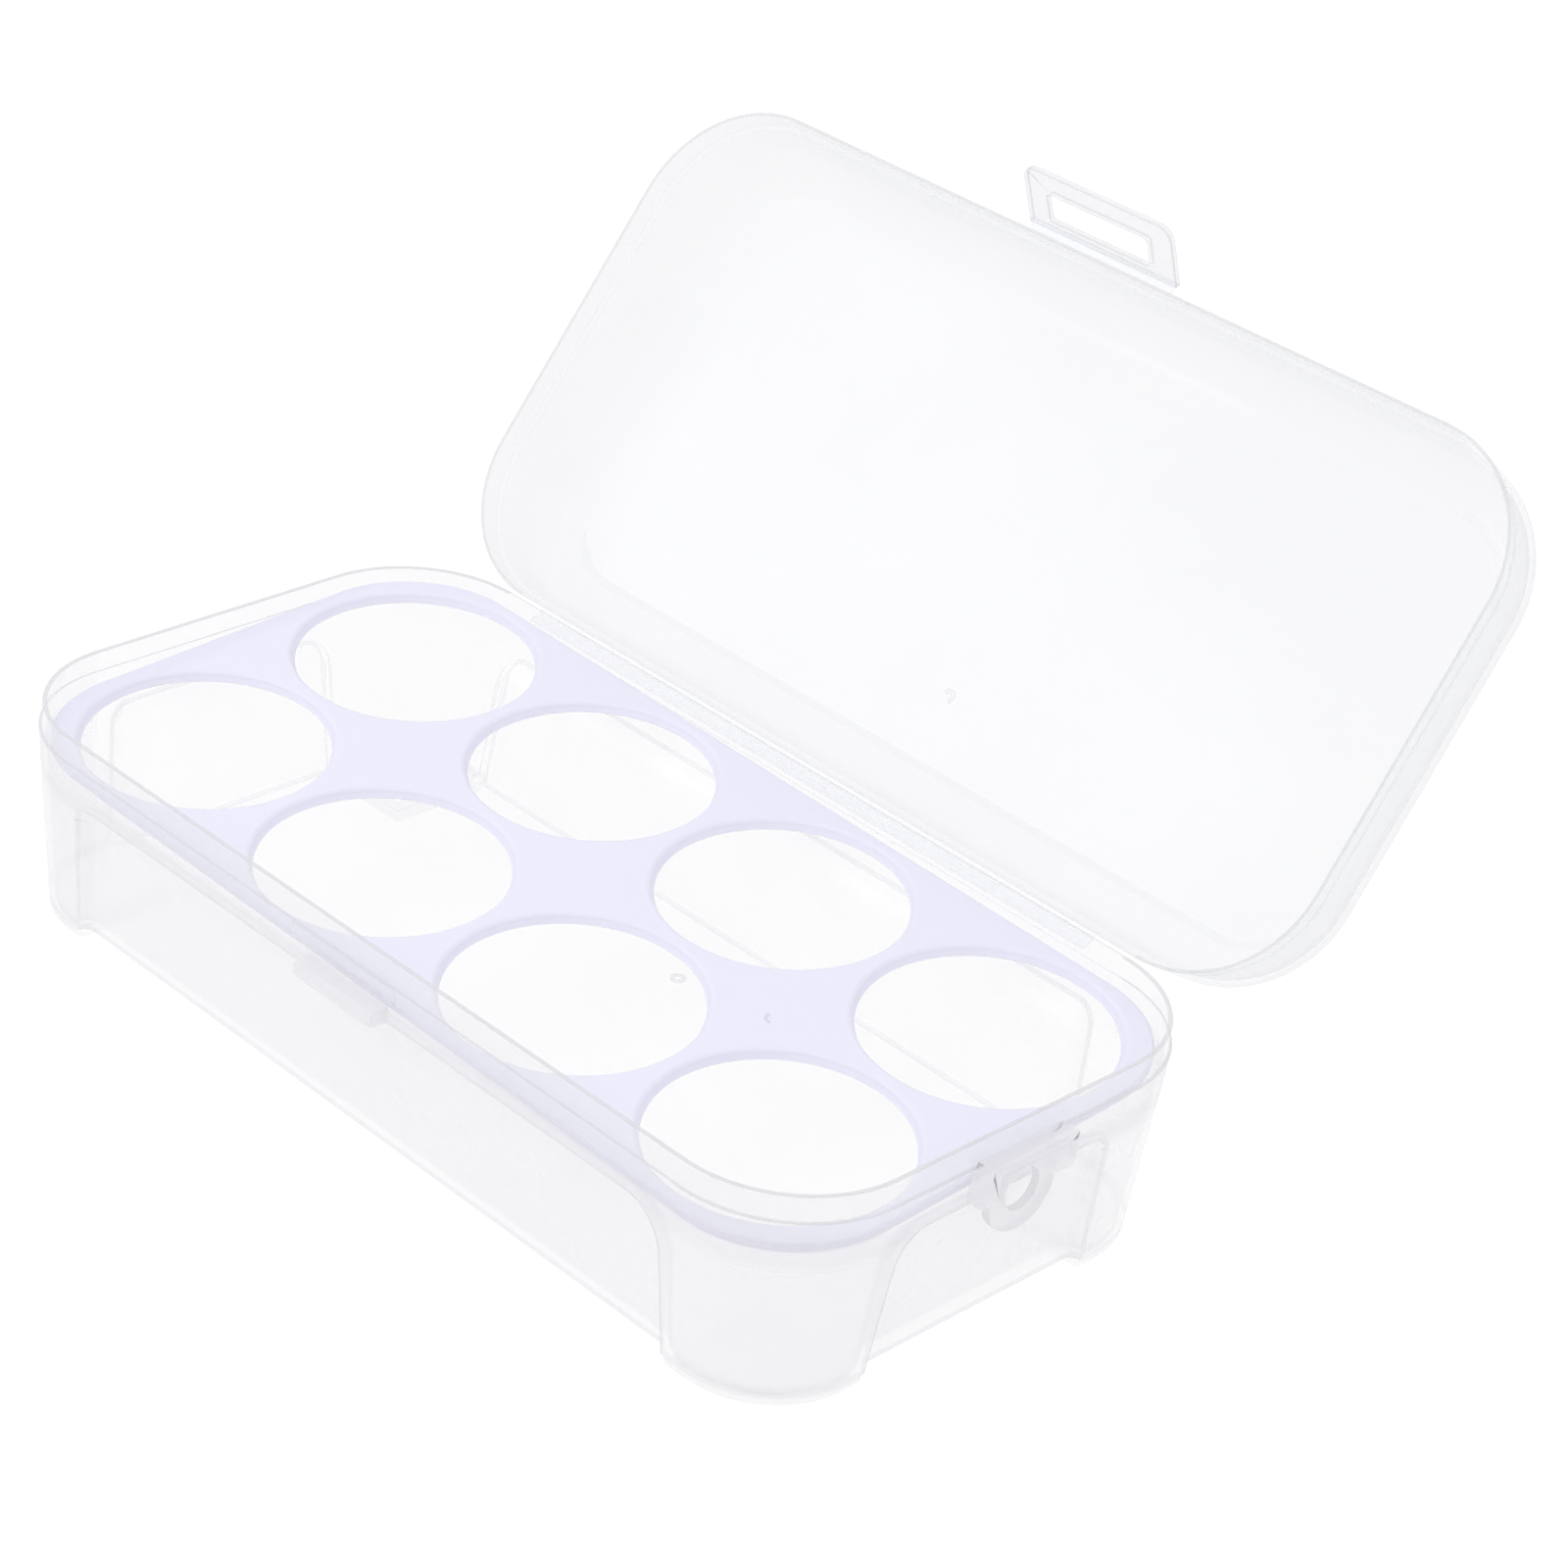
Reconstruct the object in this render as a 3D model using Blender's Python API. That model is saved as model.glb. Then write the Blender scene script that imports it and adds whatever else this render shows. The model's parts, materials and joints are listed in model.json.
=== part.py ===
"""Hinged translucent egg tray with a loose perforated egg rack.

Dimensions are in millimetres in the tub's own frame (z = 0 at the tub's rim,
-Y the catch side, +Y the hinge side, +X the end with the hanging eyelet), and
are turned into metres where the geometry is made. The lid and the latch flap
are drawn closed and are then swung to the pose they rest in by the empties on
their hinge lines.
"""

import math

import bmesh
import bpy
from mathutils import Matrix, Vector

MM = 0.001

# Tub -----------------------------------------------------------------------
LIP_X, LIP_Y, LIP_R = 104.0, 52.6, 24.0      # upright lip that the lid covers
WALL_X, WALL_Y = 104.6, 53.2                 # wall below the lip's step
STEP_Z = -4.8
WALL_DRAFT = 0.10
WALL_R, FOOT_R = 24.6, 18.6                   # corner radius below the step and at the feet
FOOT_Z = -43.4
FOOT_ROUND = 1.8
WALL_T = 1.2
LIP_T = 0.8
FLOOR_Z = -40.9                              # underside of the floor
FLOOR_T = 1.3
CAVITY_BOTTOM = FOOT_Z + FLOOR_T
# recessed panels, front, back and both ends
LEDGE_Z = -12.9
LEDGE_SLOPE = 0.5
RECESS = 3.6
PANEL_DRAFT = 0.045
RECESS_HALF_LONG = (76.3, 78.1)              # half width at the ledge and at the bottom
RECESS_MID = -1.0                            # middle of the front and back recesses
RECESS_HALF_END = (25.2, 27.4)
RECESS_CORNER = 6.0
BAY_MORE = 0.9                               # the bays under the floor are this much wider

# Lid -----------------------------------------------------------------------
LID_X, LID_Y, LID_R = 104.8, 53.4, 24.8
LID_LIP_T, LID_LIP_D = 0.6, 4.5
LID_T = 1.2
LID_DRAFT = 0.07
LID_DEPTH = 22.4
LID_SHOULDER = 10.1
LID_CLOSED_Z = -4.4                          # lid's rim plane when closed
HINGE_Y, HINGE_Z = 55.1, -3.41
LID_OPEN_DEG = 125.8                         # open angle in the rest pose
HINGE_X = (-75.0, 70.0)
LEAF_T = 0.8

# Latch ---------------------------------------------------------------------
LATCH_Y, LATCH_Z = -54.5, -4.1               # flap's hinge line, lid closed
LATCH_X = (-19.4, 16.9)
LATCH_LEN = 13.3
LATCH_T = 1.2
LATCH_CORNER = 3.2
WINDOW_X = (-13.8, 10.6)
WINDOW_L = (2.5, 8.5)
LATCH_DEG = 57.0                             # folded in the rest pose
BOSS_X = (-10.9, 9.9)
BOSS_Z = (-8.9, -9.6, -12.1)                  # top at the wall, top and bottom at the nose
BOSS_NOSE_Y = -56.6

# Hanging eyelet --------------------------------------------------------------
EYE_Y = (-10.8, 9.6)
EYE_X = (104.95, 108.7)
EYE_TOP, EYE_FIN_BOTTOM = -3.2, -12.8
EYE_T = 1.6
RING_C = (-1.0, -11.2)
RING_R, RING_HOLE_R = 7.7, 3.75

# Egg rack --------------------------------------------------------------------
RACK_X, RACK_Y, RACK_R = 102.2, 50.8, 22.6
RACK_T = 2.0
PITCH_X, PITCH_Y = 50.0, 49.6
HOLE_R, HOLE_R_LOW = 23.3, 22.7
RACK_AT = (-0.2, -0.2, -6.35)                # centre of the rack's top face
RACK_TILT = (3.1, 1.15, 0.12)                # degrees about X, Y, Z

# The open tray's box: its centre in x and y, and its foot, are the origin
ORIGIN = (-1.95, -37.4146, 43.4)


# --- helpers -----------------------------------------------------------------

def new_collection(name):
    made = bpy.data.collections.new(name)
    bpy.context.scene.collection.children.link(made)
    return made


def finish_mesh(bm, name, collection, smooth=35.0):
    bmesh.ops.recalc_face_normals(bm, faces=bm.faces[:])
    mesh = bpy.data.meshes.new(name)
    bm.to_mesh(mesh)
    bm.free()
    obj = bpy.data.objects.new(name, mesh)
    collection.objects.link(obj)
    mesh.shade_smooth()
    mesh.set_sharp_from_angle(angle=math.radians(smooth))
    return obj


def ring_to(verts, old, centre, radius, z):
    """Moves a rounded rectangle's points to another corner radius and height.
    old and centre are the corner arcs' centres, before and after, in the first
    quadrant."""
    for v in verts:
        sx, sy = math.copysign(1, v.co.x), math.copysign(1, v.co.y)
        n = Vector((v.co.x / MM - sx * old[0], v.co.y / MM - sy * old[1]))
        n.normalize()
        v.co = Vector((sx * centre[0] + n.x * radius, sy * centre[1] + n.y * radius, z)) * MM


def rounded_stack(half_x, half_y, corner, levels, segments=9):
    """A solid of stacked rounded rectangles from bottom to top: (height, inset) or
    (height, inset, corner radius)."""
    centre = (half_x - corner, half_y - corner)
    rings = []
    for level in levels:
        radius = level[2] if len(level) > 2 else corner - level[1]
        rings.append((level[0], radius, (half_x - level[1] - radius, half_y - level[1] - radius)))
    bm = bmesh.new()
    bmesh.ops.create_grid(bm, x_segments=1, y_segments=1, size=1.0)
    for v in bm.verts:
        v.co = Vector((v.co.x * half_x, v.co.y * half_y, 0.0)) * MM
    bmesh.ops.bevel(
        bm, geom=bm.verts[:], offset=corner * MM, offset_type="OFFSET",
        segments=segments, profile=0.5, affect="VERTICES",
    )
    bm.faces.ensure_lookup_table()
    face = bm.faces[0]
    corners = bm.verts[:]
    # the vertex bevel's arcs are made truly round
    for v in corners:
        c = Vector((math.copysign(centre[0], v.co.x), math.copysign(centre[1], v.co.y)))
        n = Vector((v.co.x / MM, v.co.y / MM)) - c
        if n.length < 1e-6:
            n = Vector((math.copysign(1, v.co.x), math.copysign(1, v.co.y)))
        n.normalize()
        p = c + n * corner
        v.co = Vector((p.x, p.y, 0.0)) * MM
    ring_to(corners, centre, rings[0][2], rings[0][1], rings[0][0])
    for i, (z, radius, middle) in enumerate(rings[1:]):
        made = bmesh.ops.extrude_face_region(bm, geom=[face])["geom"]
        up = [g for g in made if isinstance(g, bmesh.types.BMVert)]
        if i:
            bmesh.ops.delete(bm, geom=[face], context="FACES_ONLY")
        face = [g for g in made if isinstance(g, bmesh.types.BMFace)][0]
        ring_to(up, rings[i][2], middle, radius, z)
    return bm


def block(lo, hi):
    """A box between two corners, in millimetres."""
    bm = bmesh.new()
    size = [b - a for a, b in zip(lo, hi)]
    mid = [(a + b) / 2 for a, b in zip(lo, hi)]
    matrix = Matrix.Translation(Vector(mid) * MM) @ Matrix.Diagonal((*[s * MM for s in size], 1.0))
    bmesh.ops.create_cube(bm, size=1.0, matrix=matrix)
    return bm


def round_edges(bm, pick, radius, segments=4):
    edges = [e for e in bm.edges if pick(*(v.co / MM for v in e.verts))]
    bmesh.ops.bevel(
        bm, geom=edges, offset=radius * MM, offset_type="OFFSET",
        segments=segments, profile=0.5, affect="EDGES",
    )
    return bm


def cylinder(radius_a, radius_b, lo, hi, axis, at, segments=48):
    """A round bar or cone from lo to hi along axis, at the two other coordinates."""
    bm = bmesh.new()
    turn = {"Z": Matrix.Identity(4), "X": Matrix.Rotation(math.pi / 2, 4, "Y")}[axis]
    middle = (lo + hi) / 2
    place = Vector((at[0], at[1], middle)) if axis == "Z" else Vector((middle, at[0], at[1]))
    bmesh.ops.create_cone(
        bm, cap_ends=True, segments=segments, radius1=radius_a * MM, radius2=radius_b * MM,
        depth=(hi - lo) * MM, matrix=Matrix.Translation(place * MM) @ turn,
    )
    return bm


def combine(obj, others, operation):
    for other in others:
        m = obj.modifiers.new(operation.lower(), "BOOLEAN")
        m.operation = operation
        m.solver = "EXACT"
        m.object = other
        other.hide_render = True
        other.display_type = "WIRE"


def baked(obj, smooth=35.0):
    """Applies an object's modifiers to its own mesh."""
    graph = bpy.context.evaluated_depsgraph_get()
    mesh = bpy.data.meshes.new_from_object(obj.evaluated_get(graph))
    obj.modifiers.clear()
    obj.data = mesh
    mesh.name = obj.name
    mesh.shade_smooth()
    mesh.set_sharp_from_angle(angle=math.radians(smooth))
    return obj


def material(name, colour, roughness, alpha=1.0):
    mat = bpy.data.materials.new(name)
    mat.use_nodes = True
    shader = mat.node_tree.nodes["Principled BSDF"]
    shader.inputs["Base Color"].default_value = (*colour, 1.0)
    shader.inputs["Roughness"].default_value = roughness
    shader.inputs["Metallic"].default_value = 0.0
    shader.inputs["Alpha"].default_value = alpha
    mat.diffuse_color = (*colour, alpha)
    return mat


def empty(name, location, rotation=(0.0, 0.0, 0.0), parent=None):
    e = bpy.data.objects.new(name, None)
    e.empty_display_size = 0.02
    parts.objects.link(e)
    e.location = Vector(location) * MM
    e.rotation_euler = [math.radians(a) for a in rotation]
    e.parent = parent
    return e


def shifted(bm, by):
    bmesh.ops.translate(bm, verts=bm.verts[:], vec=Vector(by) * MM)
    return bm


# --- scene -------------------------------------------------------------------

for old in list(bpy.data.objects):
    bpy.data.objects.remove(old, do_unlink=True)

parts = new_collection("egg_tray")
cutters = new_collection("cutters")

clear_pp = material("clear_polypropylene", (0.93, 0.94, 0.95), 0.25, 0.35)
clear_lid_pp = material("clear_polypropylene_lid", (0.94, 0.95, 0.97), 0.2, 0.3)
film_pp = material("clear_polypropylene_hinge", (0.90, 0.91, 0.94), 0.35, 0.45)
latch_pp = material("clear_polypropylene_latch", (0.90, 0.90, 0.93), 0.3, 0.5)
lavender_pp = material("lavender_polypropylene", (0.84, 0.85, 0.96), 0.4)

root = empty("tray_origin", ORIGIN)


def recess_cutter(name, long_side, sign, grow):
    """The space outside one recessed panel. grow moves its faces into the tub
    by the wall's thickness, for the cavity's share of the same panel."""
    half_top, half_low = RECESS_HALF_LONG if long_side else RECESS_HALF_END
    face = (WALL_Y if long_side else WALL_X) - WALL_DRAFT * (STEP_Z - LEDGE_Z)
    low = -60.0
    outer = face + 8.0
    inner_top = face - RECESS - grow
    inner_low = inner_top - PANEL_DRAFT * (LEDGE_Z - low)
    spread = (half_low - half_top) / (LEDGE_Z - FLOOR_Z)
    top = LEDGE_Z + grow * math.sqrt(1 + LEDGE_SLOPE ** 2)

    def half(z):
        return half_top + grow + spread * (LEDGE_Z - z)

    bm = bmesh.new()
    bmesh.ops.create_cube(bm, size=2.0)
    mid = sign * RECESS_MID if long_side else 0.0
    for v in bm.verts:
        along, depth, up = v.co.x, v.co.y, v.co.z
        d = outer if depth > 0 else (inner_top if up > 0 else inner_low)
        z = top - LEDGE_SLOPE * (face - d) if up > 0 else low
        a = half(z) * along
        v.co = Vector((mid + a, d, z)) * MM
    round_edges(
        bm,
        lambda p, q: abs(p.y - q.y) > 1 and min(p.z, q.z) > low + 1 and abs(p.x - q.x) < 5,
        RECESS_CORNER + grow, 5,
    )
    if sign < 0 or not long_side:
        angle = {(True, -1): math.pi, (False, 1): -math.pi / 2, (False, -1): math.pi / 2}[(long_side, sign)]
        bmesh.ops.rotate(bm, verts=bm.verts[:], cent=(0, 0, 0), matrix=Matrix.Rotation(angle, 3, "Z"))
    return finish_mesh(bm, name, cutters)


def floor_cutter(name, long_way, grow):
    """The bay under the floor between two pairs of feet."""
    if long_way:
        half = RECESS_HALF_END[1] + BAY_MORE + grow
        bm = block((-130, -half, -60), (130, half, FLOOR_Z + grow * FLOOR_T / WALL_T))
    else:
        half = RECESS_HALF_LONG[1] + BAY_MORE + grow
        bm = block((RECESS_MID - half, -80, -60), (RECESS_MID + half, 80, FLOOR_Z + grow * FLOOR_T / WALL_T))
    return finish_mesh(bm, name, cutters)


def wall_inset(z, thickness=0.0):
    """Inset of the lower wall from the lip's outline at height z."""
    return (LIP_X - WALL_X) + WALL_DRAFT * (STEP_Z - z) + thickness


def wall_ring(z, thickness=0.0, more=0.0):
    """Level of the lower wall's outline, or of its inner face, at height z."""
    part = (STEP_Z - z) / (STEP_Z - FOOT_Z)
    radius = WALL_R + (FOOT_R - WALL_R) * part - thickness - more
    return (z, wall_inset(z, thickness) + more, radius)


def make_tub():
    foot_levels = []
    for i in range(4):
        t = i / 3 * math.pi / 2
        z = FOOT_Z + FOOT_ROUND * (1 - math.sin(t))
        foot_levels.append(wall_ring(z, 0.0, FOOT_ROUND * (1 - math.cos(t))))
    foot_levels.reverse()
    levels = foot_levels + [wall_ring(STEP_Z), (STEP_Z, 0.0), (0.0, 0.0)]
    tub = finish_mesh(rounded_stack(LIP_X, LIP_Y, LIP_R, levels), "base_tub", parts)

    r = FOOT_ROUND - 0.6
    inner_levels = [
        wall_ring(CAVITY_BOTTOM, WALL_T, r),
        wall_ring(CAVITY_BOTTOM + 0.3 * r, WALL_T, 0.3 * r),
        wall_ring(CAVITY_BOTTOM + r, WALL_T),
        wall_ring(STEP_Z - 1.6, WALL_T),
        (STEP_Z, LIP_T),
        (2.0, LIP_T),
    ]
    cavity = finish_mesh(rounded_stack(LIP_X, LIP_Y, LIP_R, inner_levels), "tub_cavity", cutters)
    for solid, grow in ((tub, 0.0), (cavity, WALL_T)):
        tools = []
        for long_side in (True, False):
            for sign in (-1, 1):
                tools.append(recess_cutter(f"recess_{solid.name}_{long_side}_{sign}", long_side, sign, grow))
            tools.append(floor_cutter(f"bay_{solid.name}_{long_side}", long_side, grow))
        combine(solid, tools, "DIFFERENCE")
        baked(solid)
    combine(tub, [cavity], "DIFFERENCE")
    baked(tub)
    tub.data.materials.append(clear_pp)
    tub.parent = root
    return tub


def make_catch():
    wall = -(WALL_Y - WALL_DRAFT * 4.3) - 0.32
    bm = block((BOSS_X[0], BOSS_NOSE_Y, BOSS_Z[2]), (BOSS_X[1], wall, BOSS_Z[1]))
    for v in bm.verts:
        p = v.co / MM
        if p.z > BOSS_Z[1] - 0.01 and p.y > wall - 0.01:
            v.co.z = BOSS_Z[0] * MM
    round_edges(bm, lambda p, q: abs(p.x - q.x) > 5 and max(p.y, q.y) < BOSS_NOSE_Y + 0.01, 0.4, 2)
    boss = finish_mesh(bm, "catch_boss", parts)
    boss.data.materials.append(latch_pp)
    boss.parent = root


def make_eyelet():
    x0, x1 = EYE_X
    y0, y1 = EYE_Y
    plate = finish_mesh(block((x1 - EYE_T, y0 + 1.0, RING_C[1] + 2.5), (x1, y1 - 1.0, EYE_TOP)), "hanging_eyelet", parts)
    hood = finish_mesh(block((x0, y0, EYE_TOP - 1.4), (x1, y1, EYE_TOP)), "eyelet_hood", cutters)
    fins = []
    for lo, hi in ((y0, y0 + 2.0), (y1 - 2.0, y1)):
        bm = block((x0, lo, EYE_FIN_BOTTOM), (x1, hi, EYE_TOP))
        round_edges(bm, lambda p, q: abs(p.y - q.y) > 1 and max(p.z, q.z) < EYE_FIN_BOTTOM + 0.01 and min(p.x, q.x) > x1 - 0.01, 2.6, 4)
        fins.append(finish_mesh(bm, "eyelet_fin", cutters))
    ring = finish_mesh(cylinder(RING_R, RING_R, x1 - EYE_T, x1, "X", RING_C, 40), "eyelet_ring", cutters)
    hole = finish_mesh(cylinder(RING_HOLE_R, RING_HOLE_R, x1 - 6, x1 + 3, "X", RING_C, 32), "eyelet_hole", cutters)
    combine(plate, [hood] + fins + [ring], "UNION")
    combine(plate, [hole], "DIFFERENCE")
    baked(plate)
    plate.data.materials.append(latch_pp)
    plate.parent = root


def make_base_leaf():
    """Strip outside the tub's back wall that carries the living hinge."""
    top = HINGE_Z - 0.09
    bm = block((HINGE_X[0], 53.75, top - LEAF_T), (HINGE_X[1], HINGE_Y - 0.55, top))
    leaf = finish_mesh(bm, "hinge_leaf_base", parts)
    bm = block((HINGE_X[0], 53.5, top - 3.0), (HINGE_X[1], 54.3, top - 0.3))
    for v in bm.verts:
        p = v.co / MM
        if p.z > top - 1 and p.y < 54:
            v.co.y = 53.8 * MM
        if p.z < top - 1 and p.y > 54:
            v.co.y = 53.7 * MM
    foot = finish_mesh(bm, "hinge_leaf_root", cutters)
    combine(leaf, [foot], "UNION")
    baked(leaf)
    leaf.data.materials.append(film_pp)
    leaf.parent = root

    bm = cylinder(0.25, 0.25, HINGE_X[0] + 0.5, HINGE_X[1] - 0.5, "X", (HINGE_Y, HINGE_Z), 10)
    web = finish_mesh(bm, "hinge_web", parts)
    web.data.materials.append(film_pp)
    web.parent = root


def lid_levels(extra, depth, shoulder, lip):
    """Insets of the lid's outer or inner surface, from its rim to its top."""
    levels = [(0.0 if not extra else -2.0, lip)]
    if extra:
        levels += [(LID_LIP_D, lip), (LID_LIP_D + 0.5, extra + LID_DRAFT * (LID_LIP_D + 0.5))]
    start = depth - shoulder
    for i in range(6):
        t = i / 5 * math.pi / 2
        d = start + shoulder * math.sin(t)
        levels.append((d, extra + LID_DRAFT * start + shoulder * (1 - math.cos(t))))
    return levels


def make_lid(swing):
    outer = lid_levels(0.0, LID_DEPTH, LID_SHOULDER, 0.0)
    inner = lid_levels(LID_T, LID_DEPTH - LID_T, LID_SHOULDER - LID_T, LID_LIP_T)
    to_axis = (0.0, -HINGE_Y, LID_CLOSED_Z - HINGE_Z)
    lid = finish_mesh(shifted(rounded_stack(LID_X, LID_Y, LID_R, outer), to_axis), "lid_shell", parts)
    hollow = finish_mesh(shifted(rounded_stack(LID_X, LID_Y, LID_R, inner), to_axis), "lid_hollow", cutters)
    combine(lid, [hollow], "DIFFERENCE")
    baked(lid)
    lid.data.materials.append(clear_lid_pp)
    lid.parent = swing

    low = 0.08
    bm = block((HINGE_X[0], 53.62 - HINGE_Y, low), (HINGE_X[1], -0.55, low + LEAF_T))
    leaf = finish_mesh(bm, "hinge_leaf_lid", parts)
    leaf.data.materials.append(film_pp)
    leaf.parent = swing

    y = LATCH_Y - HINGE_Y
    z = LATCH_Z - HINGE_Z
    bm = block((LATCH_X[0] + 0.8, y + 0.15, z + 0.05), (LATCH_X[1] - 0.8, y + 0.78, z + 0.45))
    web = finish_mesh(bm, "latch_web", parts)
    web.data.materials.append(film_pp)
    web.parent = swing


def make_latch(pivot):
    bm = block((LATCH_X[0], -LATCH_LEN, 0.0), (LATCH_X[1], -0.15, LATCH_T))
    round_edges(bm, lambda p, q: abs(p.z - q.z) > 0.5 and max(p.y, q.y) < -10, LATCH_CORNER, 5)
    flap = finish_mesh(bm, "latch_flap", parts)
    window = finish_mesh(
        block((WINDOW_X[0], -WINDOW_L[1], -3.0), (WINDOW_X[1], -WINDOW_L[0], 4.0)), "latch_window", cutters
    )
    combine(flap, [window], "DIFFERENCE")
    baked(flap)
    flap.data.materials.append(latch_pp)
    flap.parent = pivot


def make_rack(seat):
    e = 0.5
    levels = [(-RACK_T, e), (-RACK_T + e, 0.0), (-0.7, 0.0), (-0.2, 0.2), (0.0, 0.7)]
    rack = finish_mesh(rounded_stack(RACK_X, RACK_Y, RACK_R, levels), "egg_rack", parts)
    holes = []
    for i in range(4):
        for j in (-1, 1):
            x = (i - 1.5) * PITCH_X
            y = j * PITCH_Y / 2
            slope = (HOLE_R - HOLE_R_LOW) / RACK_T
            bm = cylinder(
                HOLE_R_LOW - slope, HOLE_R + slope, -RACK_T - 1.0, 1.0, "Z", (x, y), 48
            )
            holes.append(finish_mesh(bm, f"egg_hole_{i}_{j}", cutters))
    combine(rack, holes, "DIFFERENCE")
    baked(rack)
    rack.data.materials.append(lavender_pp)
    rack.parent = seat


lid_swing = empty("lid_hinge_axis", (0.0, HINGE_Y, HINGE_Z), (-LID_OPEN_DEG, 0.0, 0.0), root)
latch_pivot = empty(
    "latch_axis", (0.0, LATCH_Y - HINGE_Y, LATCH_Z - HINGE_Z), (LATCH_DEG, 0.0, 0.0), lid_swing
)
rack_seat = empty("rack_seat", RACK_AT, RACK_TILT, root)

make_tub()
make_catch()
make_eyelet()
make_base_leaf()
make_lid(lid_swing)
make_latch(latch_pivot)
make_rack(rack_seat)

bpy.context.view_layer.update()
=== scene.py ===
import json
import math

import bmesh
import bpy
import numpy as np
from mathutils import Matrix, Vector

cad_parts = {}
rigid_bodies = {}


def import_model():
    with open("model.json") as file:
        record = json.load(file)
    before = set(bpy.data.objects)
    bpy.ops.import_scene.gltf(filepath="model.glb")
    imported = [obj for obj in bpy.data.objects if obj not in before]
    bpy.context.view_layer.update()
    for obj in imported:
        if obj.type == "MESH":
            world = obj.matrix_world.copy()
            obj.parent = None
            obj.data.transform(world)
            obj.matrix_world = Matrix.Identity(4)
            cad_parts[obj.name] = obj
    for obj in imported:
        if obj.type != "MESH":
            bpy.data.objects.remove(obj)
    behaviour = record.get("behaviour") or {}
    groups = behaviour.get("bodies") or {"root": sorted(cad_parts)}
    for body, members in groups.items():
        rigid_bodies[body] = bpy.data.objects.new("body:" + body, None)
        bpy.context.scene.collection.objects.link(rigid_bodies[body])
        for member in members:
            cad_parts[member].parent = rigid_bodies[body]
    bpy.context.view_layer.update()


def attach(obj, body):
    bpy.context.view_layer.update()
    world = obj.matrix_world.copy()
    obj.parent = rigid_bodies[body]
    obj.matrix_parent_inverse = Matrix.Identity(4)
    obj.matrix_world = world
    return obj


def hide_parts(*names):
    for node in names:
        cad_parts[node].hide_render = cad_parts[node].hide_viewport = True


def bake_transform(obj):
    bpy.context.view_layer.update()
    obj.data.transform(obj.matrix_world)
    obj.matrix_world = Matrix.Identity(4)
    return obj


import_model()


MM = 0.001
ORIGIN = Vector((-1.95, -37.4146, 43.4))

# Tub, in millimetres, z = 0 at its rim
LIP_X, LIP_Y, LIP_R = 104.0, 52.6, 24.0
WALL_X, WALL_Y = 104.6, 53.2
STEP_Z = -4.8
WALL_DRAFT = 0.10
WALL_R, FOOT_R = 24.6, 18.6
FOOT_Z = -43.4
FOOT_ROUND = 1.8
WALL_T, LIP_T = 1.2, 0.8
FLOOR_Z, FLOOR_T = -40.9, 1.3
LEDGE_Z, LEDGE_SLOPE = -12.9, 0.5
RECESS = 3.6
PANEL_DRAFT = 0.045
RECESS_HALF_LONG = (76.3, 78.1)
RECESS_MID = -1.0
RECESS_HALF_END = (24.6, 26.2)
# corner radii of the recesses, at their local +x and -x ends
RECESS_CORNERS = {(True, -1): (2.6, 7.0), (True, 1): (3.2, 3.2), (False, 1): (5.5, 3.0), (False, -1): (3.2, 3.2)}
RECESS_FILLET = 1.8
BAY_MORE = 0.9

# Lid
LID_X, LID_Y, LID_R = 104.8, 53.4, 24.8
LID_LIP_T, LID_LIP_D = 0.6, 4.5
LID_T, LID_DRAFT, LID_DEPTH, LID_SHOULDER = 1.2, 0.07, 22.4, 10.1
LID_CLOSED_Z = -4.4
HINGE_Y, HINGE_Z = 55.1, -3.41
LID_OPEN_DEG = 125.8
HINGE_X = (-75.0, 70.0)
GATE_LID = (4.3, -25.9)

# Latch
LATCH_Y, LATCH_Z = -54.5, -4.1
LATCH_X = (-19.4, 16.9)
LATCH_LEN, LATCH_T, LATCH_CORNER = 13.3, 1.2, 3.2
WINDOW_X, WINDOW_L = (-13.8, 10.6), (2.5, 8.5)
LATCH_DEG = 57.0
BOSS_X = (-10.9, 9.9)
BOSS_Z = (-8.9, -9.6, -12.1)
BOSS_NOSE_Y = -56.6
PAD_X = (-15.5, 11.5)

# Eyelet
EYE_Y = (-10.8, 9.6)
EYE_X = (104.95, 108.7)
EYE_TOP, EAR_BOTTOM = -3.2, -11.6
EYE_T, EYE_BACK = 1.6, 1.6
RING_C = (-1.0, -11.2)
RING_R, RING_HOLE_R = 7.9, 4.05

# Rack
RACK_X, RACK_Y, RACK_R, RACK_T = 102.2, 50.8, 22.6, 2.0
PITCH_X, PITCH_Y = 50.0, 49.6
HOLE_R, HOLE_R_LOW = 23.3, 22.7
RACK_AT = (-0.2, -0.2, -6.35)
RACK_TILT = (3.1, 1.15, 0.12)

base_place = Matrix.Translation(ORIGIN * MM)

scene = bpy.context.scene
pieces = bpy.data.collections.new("pieces")
scene.collection.children.link(pieces)
tools = bpy.data.collections.new("tools")
scene.collection.children.link(tools)


# --- mesh helpers --------------------------------------------------------------

def to_object(bm, name, collection=pieces):
    bmesh.ops.recalc_face_normals(bm, faces=bm.faces[:])
    mesh = bpy.data.meshes.new(name)
    bm.to_mesh(mesh)
    bm.free()
    obj = bpy.data.objects.new(name, mesh)
    collection.objects.link(obj)
    return obj


def ring_to(verts, old, centre, radius, z):
    for v in verts:
        sx, sy = math.copysign(1, v.co.x), math.copysign(1, v.co.y)
        n = Vector((v.co.x / MM - sx * old[0], v.co.y / MM - sy * old[1]))
        n.normalize()
        v.co = Vector((sx * centre[0] + n.x * radius, sy * centre[1] + n.y * radius, z)) * MM


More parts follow.
